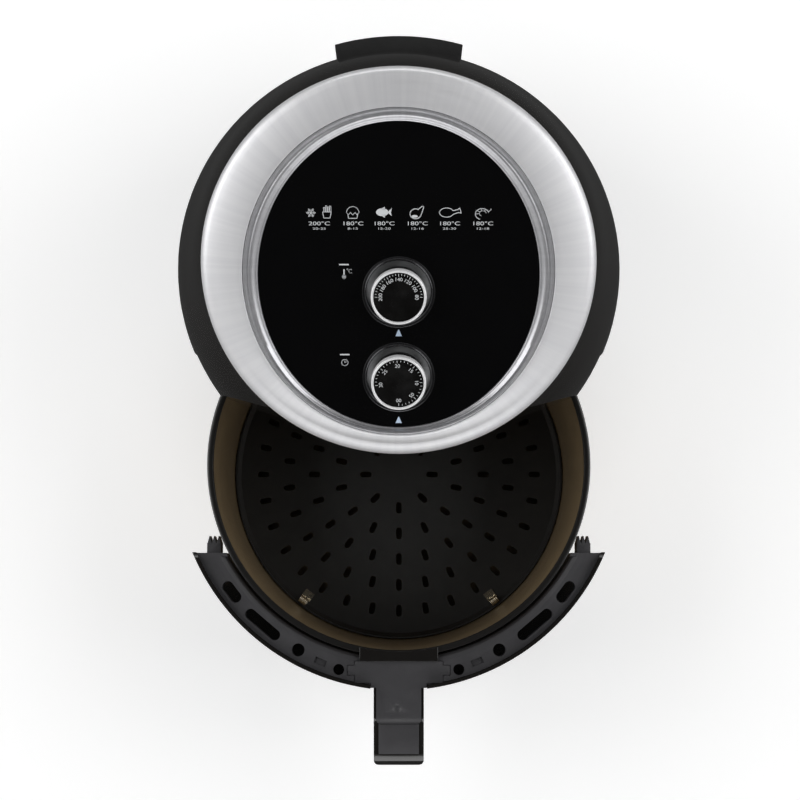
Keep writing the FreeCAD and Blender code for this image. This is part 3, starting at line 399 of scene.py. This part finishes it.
class Print:
    """White print on the lid or a dial, gathered into one mesh. Places are millimetres in the lid's frame."""

    def __init__(self, height, middle_y=0.0):
        self.build = bmesh.new()
        self.place = LID @ Matrix.Scale(MM, 4) @ Matrix.Translation((0, middle_y, height))

    def text(self, words, size, x, y, turn=0.0, widen=1.0):
        curve = bpy.data.curves.new("print", "FONT")
        curve.body = words
        curve.size = size
        curve.align_x = "CENTER"
        curve.align_y = "CENTER"
        written = bpy.data.objects.new("print", curve)
        mesh = bpy.data.meshes.new_from_object(written)
        mesh.transform(self.place @ Matrix.Translation((x, y, 0)) @ Matrix.Rotation(turn, 4, "Z")
                       @ Matrix.Diagonal((widen, 1, 1, 1)))
        self.build.from_mesh(mesh)
        bpy.data.objects.remove(written)
        bpy.data.curves.remove(curve)
        bpy.data.meshes.remove(mesh)

    def patch(self, points):
        self.build.faces.new([self.build.verts.new(self.place @ Vector((x, y, 0))) for x, y in points])

    def line(self, points, width=0.42):
        for (x0, y0), (x1, y1) in zip(points, points[1:]):
            along = Vector((x1 - x0, y1 - y0)).normalized() * width / 2
            aside = Vector((-along.y, along.x))
            ends = (Vector((x0, y0)) - along * 0.6, Vector((x1, y1)) + along * 0.6)
            self.patch([ends[0] - aside, ends[1] - aside, ends[1] + aside, ends[0] + aside])

    def arc(self, x, y, rx, ry, start=0, end=360, width=0.42, steps=28):
        turns = [math.radians(start + (end - start) * n / steps) for n in range(steps + 1)]
        self.line([(x + rx * math.cos(t), y + ry * math.sin(t)) for t in turns], width)

    def blob(self, x, y, rx, ry, start=0, end=360, steps=28):
        turns = [math.radians(start + (end - start) * n / steps) for n in range(steps)]
        self.patch([(x + rx * math.cos(t), y + ry * math.sin(t)) for t in turns])

    def done(self, name, like, finish):
        stand_in(name, self.build, like, finish)


def dial_print(which, middle_y, marks, between, start, step):
    """Numerals with their tops outwards and a ring of ticks, counted anticlockwise from the right."""
    printed = Print(KNOB_FACE, middle_y)
    for n, mark in enumerate(marks):
        turn = math.radians(start + n * step)
        printed.text(mark, 3.3, 11.7 * math.cos(turn), 11.7 * math.sin(turn), turn - math.pi / 2, 1.08)
    count = (len(marks) - 1) * between
    for n in range(count + 1):
        turn = math.radians(start + n * step / between)
        inner = 13.8 if n % between == 0 else 14.5
        printed.line([(r * math.cos(turn), r * math.sin(turn)) for r in (inner, 15.4)], 0.32)
    printed.done(which + "_numerals", which + "_knob", WHITE_INK)


def menu_marks():
    printed = Print(PANEL_FACE)
    top = 34.0
    for turn in (0, 60, 120):
        c, s = math.cos(math.radians(turn)), math.sin(math.radians(turn))
        printed.line([(-56.7 - 3.0 * c, top - 3.0 * s), (-56.7 + 3.0 * c, top + 3.0 * s)], 0.4)
        for side in (-1, 1):
            printed.arc(-56.7 + side * 2.0 * c, top + side * 2.0 * s, 0.7, 0.7, steps=8, width=0.25)
    printed.line([(-49.2, 34.6), (-48.4, 30.6), (-44.4, 30.6), (-43.6, 34.6), (-49.2, 34.6)])
    for x, height in ((-48.4, 37.6), (-47.1, 38.6), (-45.8, 37.9), (-44.5, 38.4)):
        printed.line([(x, 34.6), (x - 0.2, height), (x + 0.7, height), (x + 0.8, 34.6)], 0.34)
    printed.arc(-29.7, 34.2, 4.0, 3.9, 0, 180)
    printed.arc(-29.7, 34.2, 4.0, 1.3, 180, 215)
    printed.arc(-29.7, 34.2, 4.0, 1.3, 325, 360)
    printed.line([(-33.0, 33.6), (-32.4, 30.4), (-27.0, 30.4), (-26.4, 33.6)])
    printed.line([(-32.6, 32.6), (-31.2, 34.2), (-29.7, 32.6), (-28.2, 34.2), (-26.8, 32.6)], 0.34)
    printed.blob(-10.6, 34.4, 4.0, 2.6)
    printed.patch([(-7.4, 34.4), (-4.4, 37.0), (-5.0, 34.4), (-4.4, 31.8)])
    printed.patch([(-11.5, 36.6), (-9.0, 38.0), (-8.6, 35.8)])
    printed.patch([(-11.5, 32.2), (-9.0, 30.8), (-8.6, 33.0)])
    printed.arc(11.0, 33.4, 3.6, 3.2, 60, 350, 0.7)
    printed.line([(12.6, 36.3), (15.4, 38.4), (16.2, 37.6), (14.6, 32.8)], 0.5)
    printed.blob(10.4, 31.7, 2.0, 0.9)
    printed.arc(31.0, 34.2, 4.6, 3.0, 25, 335, 0.5)
    printed.line([(35.2, 35.4), (38.4, 36.2), (39.4, 37.2), (40.0, 35.4)], 0.5)
    printed.line([(35.2, 33.0), (38.6, 34.2), (40.4, 33.8), (40.0, 35.4)], 0.5)
    printed.arc(54.0, 33.2, 4.4, 3.6, 20, 250, 0.5)
    printed.arc(54.4, 33.6, 2.2, 1.7, 10, 240, 0.4)
    for turn in (60, 100, 140, 180):
        c, s = math.cos(math.radians(turn)), math.sin(math.radians(turn))
        printed.line([(54.2 + 2.3 * c, 33.5 + 1.8 * s), (54.0 + 4.3 * c, 33.2 + 3.5 * s)], 0.34)
    printed.line([(58.2, 34.6), (60.0, 36.6)], 0.34)
    places = (-51.4, -29.7, -9.5, 12.0, 32.9, 54.4)
    minutes = ("20-25", "8-15", "15-20", "12-16", "25-30", "12-18")
    for n, x in enumerate(places):
        printed.text("200°C" if n == 0 else "180°C", 3.5, x, 26.9, widen=1.55)
        printed.text(minutes[n], 2.0, x, 23.6, widen=1.9)
    printed.arc(-35.7, -8.4, 0.9, 0.9, width=0.9)
    printed.line([(-35.7, -8.4), (-35.7, -3.6)], 0.9)
    printed.arc(-33.4, -3.4, 0.4, 0.4, steps=10, width=0.25)
    printed.arc(-31.4, -4.6, 1.1, 1.2, 50, 310, width=0.4)
    printed.line([(-38.6, -0.2), (-32.8, -0.2)], 0.9)
    printed.arc(-35.7, -66.6, 2.1, 2.1)
    printed.line([(-35.7, -65.2), (-35.7, -66.6), (-34.6, -66.0)], 0.3)
    printed.line([(-38.6, -61.1), (-32.8, -61.1)], 0.9)
    printed.done("menu_marks", "control_panel", WHITE_INK)
    pointers = Print(PANEL_FACE)
    for y in (-46.4, -106.6):
        pointers.patch([(-2.1, y - 2.1), (2.1, y - 2.1), (0.25, y + 2.3), (-0.25, y + 2.3)])
    pointers.done("pointers", "control_panel", BLUE_INK)


def softened(node, width, segments=2, angle=32):
    """The CAD node again with its flats merged and its edges eased, standing in for it."""
    build = bmesh.new()
    build.from_mesh(NODES[node].data)
    bmesh.ops.remove_doubles(build, verts=build.verts, dist=0.000005)
    bmesh.ops.dissolve_limit(build, angle_limit=math.radians(0.6), verts=build.verts, edges=build.edges)
    sharp = [e for e in build.edges if len(e.link_faces) == 2 and e.calc_face_angle() > math.radians(angle)]
    bmesh.ops.bevel(build, geom=sharp, offset=width * MM, segments=segments, profile=0.6, affect="EDGES",
                    clamp_overlap=True)
    for face in build.faces:
        face.smooth = True
    stand_in(node + "_eased", build, node, replaces=[node])


def wire_springs():
    """The wire coils that press the tray against the pan, wound where each CAD spring is."""
    lowest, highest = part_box("tray_springs")
    middle = (lowest + highest) / 2
    rim = (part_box("crisper_tray")[1].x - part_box("crisper_tray")[0].x) / 2 - SPRING_INSET
    build = bmesh.new()
    coil, wire, length, turns, steps = 2.7 * MM, 0.42 * MM, 6.6 * MM, 6, 16
    for angle in SPRING_ANGLES:
        place = Matrix.Translation(middle) @ Matrix.Rotation(math.radians(angle), 4, "Z")
        place = place @ Matrix.Translation((0, -rim, 0))
        rows = []
        for n in range(turns * steps + 1):
            wind = 2 * math.pi * n / steps
            along = length * (n / (turns * steps) - 0.5)
            centre = Vector((along, coil * math.cos(wind), coil * math.sin(wind)))
            out = Vector((0, math.cos(wind), math.sin(wind)))
            rows.append([
                build.verts.new(place @ (centre + wire * (out * math.cos(t) + AXIAL * math.sin(t))))
                for t in (2 * math.pi * k / 8 for k in range(8))
            ])
        for row, after in zip(rows, rows[1:]):
            for k in range(8):
                build.faces.new((row[k], row[(k + 1) % 8], after[(k + 1) % 8], after[k])).smooth = True
        build.faces.new(rows[0])
        build.faces.new(list(reversed(rows[-1])))
    stand_in("wire_springs", build, "tray_springs", replaces=["tray_springs"])


def pan_rim():
    """The black rolled bead round the bronze-coated pan's mouth."""
    lowest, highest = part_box("pan")
    middle = (lowest + highest) / 2
    outer = (highest.x - lowest.x) / 2
    top = highest.z
    build = bmesh.new()
    profile = [
        (4.3, 3.2), (4.35, 0.6), (4.1, 0.1), (3.5, -0.1),
        (0.6, -0.1), (0.1, 0.1), (-0.15, 0.6), (-0.2, 2.0),
    ]
    rows = []
    sides = 192
    for n in range(sides):
        turn = 2 * math.pi * n / sides
        rows.append([
            build.verts.new((
                middle.x + (outer - inward * MM) * math.cos(turn),
                middle.y + (outer - inward * MM) * math.sin(turn),
                top - drop * MM,
            )) for inward, drop in profile
        ])
    for n, row in enumerate(rows):
        after = rows[(n + 1) % sides]
        for k in range(len(profile)):
            m = (k + 1) % len(profile)
            build.faces.new((row[k], row[m], after[m], after[k])).smooth = True
    stand_in("pan_bead", build, "pan", RIM_BLACK)


# ---- floor, light and camera ----------------------------------------------------------------------

def floor():
    half = 3.0
    mesh = bpy.data.meshes.new("floor")
    corners = [(-half, -half, 0), (half, -half, 0), (half, half, 0), (-half, half, 0)]
    mesh.from_pydata(corners, [], [(0, 1, 2, 3)])
    plane = bpy.data.objects.new("floor", mesh)
    bpy.context.scene.collection.objects.link(plane)
    plane.location.z = -0.0003
    f = Finish("floor_paper", (0.9, 0.9, 0.9), 0.75, Emission_Strength=0.34)
    f.set(f.shader, "Emission Color", (1, 1, 1, 1))
    f.set(f.shader, "Base Color", f.blend(f.noise(3, 2), (0.90, 0.90, 0.90), (0.92, 0.92, 0.92)))
    mesh.materials.append(f.material)
    plane.visible_glossy = False


def lamp(name, place, aim, size, power, tall=None):
    data = bpy.data.lights.new(name, "AREA")
    data.shape = "RECTANGLE"
    data.size = size
    data.size_y = tall or size
    data.energy = power
    light = bpy.data.objects.new(name, data)
    light.location = place
    light.rotation_euler = (Vector(aim) - Vector(place)).to_track_quat("-Z", "Y").to_euler()
    bpy.context.scene.collection.objects.link(light)


def studio():
    world = bpy.data.worlds.new("studio")
    world.use_nodes = True
    tree = world.node_tree
    background = tree.nodes["Background"]
    where = tree.nodes.new("ShaderNodeTexCoord")
    parts = tree.nodes.new("ShaderNodeSeparateXYZ")
    ramp = tree.nodes.new("ShaderNodeMapRange")
    tree.links.new(where.outputs["Generated"], parts.inputs[0])
    tree.links.new(parts.outputs["Z"], ramp.inputs["Value"])
    for socket, number in (("From Min", 0.2), ("From Max", 0.66), ("To Min", 0.62), ("To Max", 0.02)):
        ramp.inputs[socket].default_value = number
    ground = tree.nodes.new("ShaderNodeMapRange")
    tree.links.new(parts.outputs["Z"], ground.inputs["Value"])
    for socket, number in (("From Min", -0.35), ("From Max", 0.12), ("To Min", 0.07), ("To Max", 1.0)):
        ground.inputs[socket].default_value = number
    both = tree.nodes.new("ShaderNodeMath")
    both.operation = "MULTIPLY"
    tree.links.new(ramp.outputs[0], both.inputs[0])
    tree.links.new(ground.outputs[0], both.inputs[1])
    tree.links.new(both.outputs[0], background.inputs["Strength"])
    background.inputs["Color"].default_value = (1, 1, 1, 1)
    bpy.context.scene.world = world
    aim = (0, AXIS_Y - 0.05, 0.1)
    lamp("left_softbox", (-1.7, AXIS_Y + 0.1, 1.3), aim, 1.6, 24, 2.2)
    lamp("right_softbox", (1.7, AXIS_Y + 0.1, 1.3), aim, 1.6, 24, 2.2)
    lamp("back_softbox", (0, AXIS_Y + 1.7, 1.0), aim, 1.8, 7, 0.8)
    lamp("front_softbox", (0, AXIS_Y - 1.9, 1.0), aim, 1.8, 9, 0.7)


def camera():
    data = bpy.data.cameras.new("camera")
    data.lens = 80.04
    data.sensor_width = 36.0
    eye = bpy.data.objects.new("camera", data)
    eye.location = (0.00088, AXIS_Y - 0.2295, 1.4369)
    eye.rotation_euler = (math.radians(5.954), 0, 0)
    bpy.context.scene.collection.objects.link(eye)
    bpy.context.scene.camera = eye
    bpy.context.scene.view_settings.view_transform = "Standard"


EASED_EDGES = {
    "handle_shell": 0.6,
    "handle_top_plate": 0.45,
    "handle_inlay": 0.3,
    "rim_clip": 0.25,
    "latch_clips": 0.2,
    "rear_outlet_cover": 0.5,
    "cord_gland": 0.4,
}

paint_cad()
ring_and_bezel()
knob("temp", TEMP_Y)
knob("timer", TIMER_Y)
dial_surrounds()
dial_print("temp", TEMP_Y, ("80", "100", "120", "140", "160", "180", "200"), 4, 0, 30)
dial_print("timer", TIMER_Y, ("00", "05", "10", "15", "20", "25", "30"), 5, -90, 46)
menu_marks()
wire_springs()
for part, width in EASED_EDGES.items():
    softened(part, width)
pan_rim()
floor()
studio()
camera()
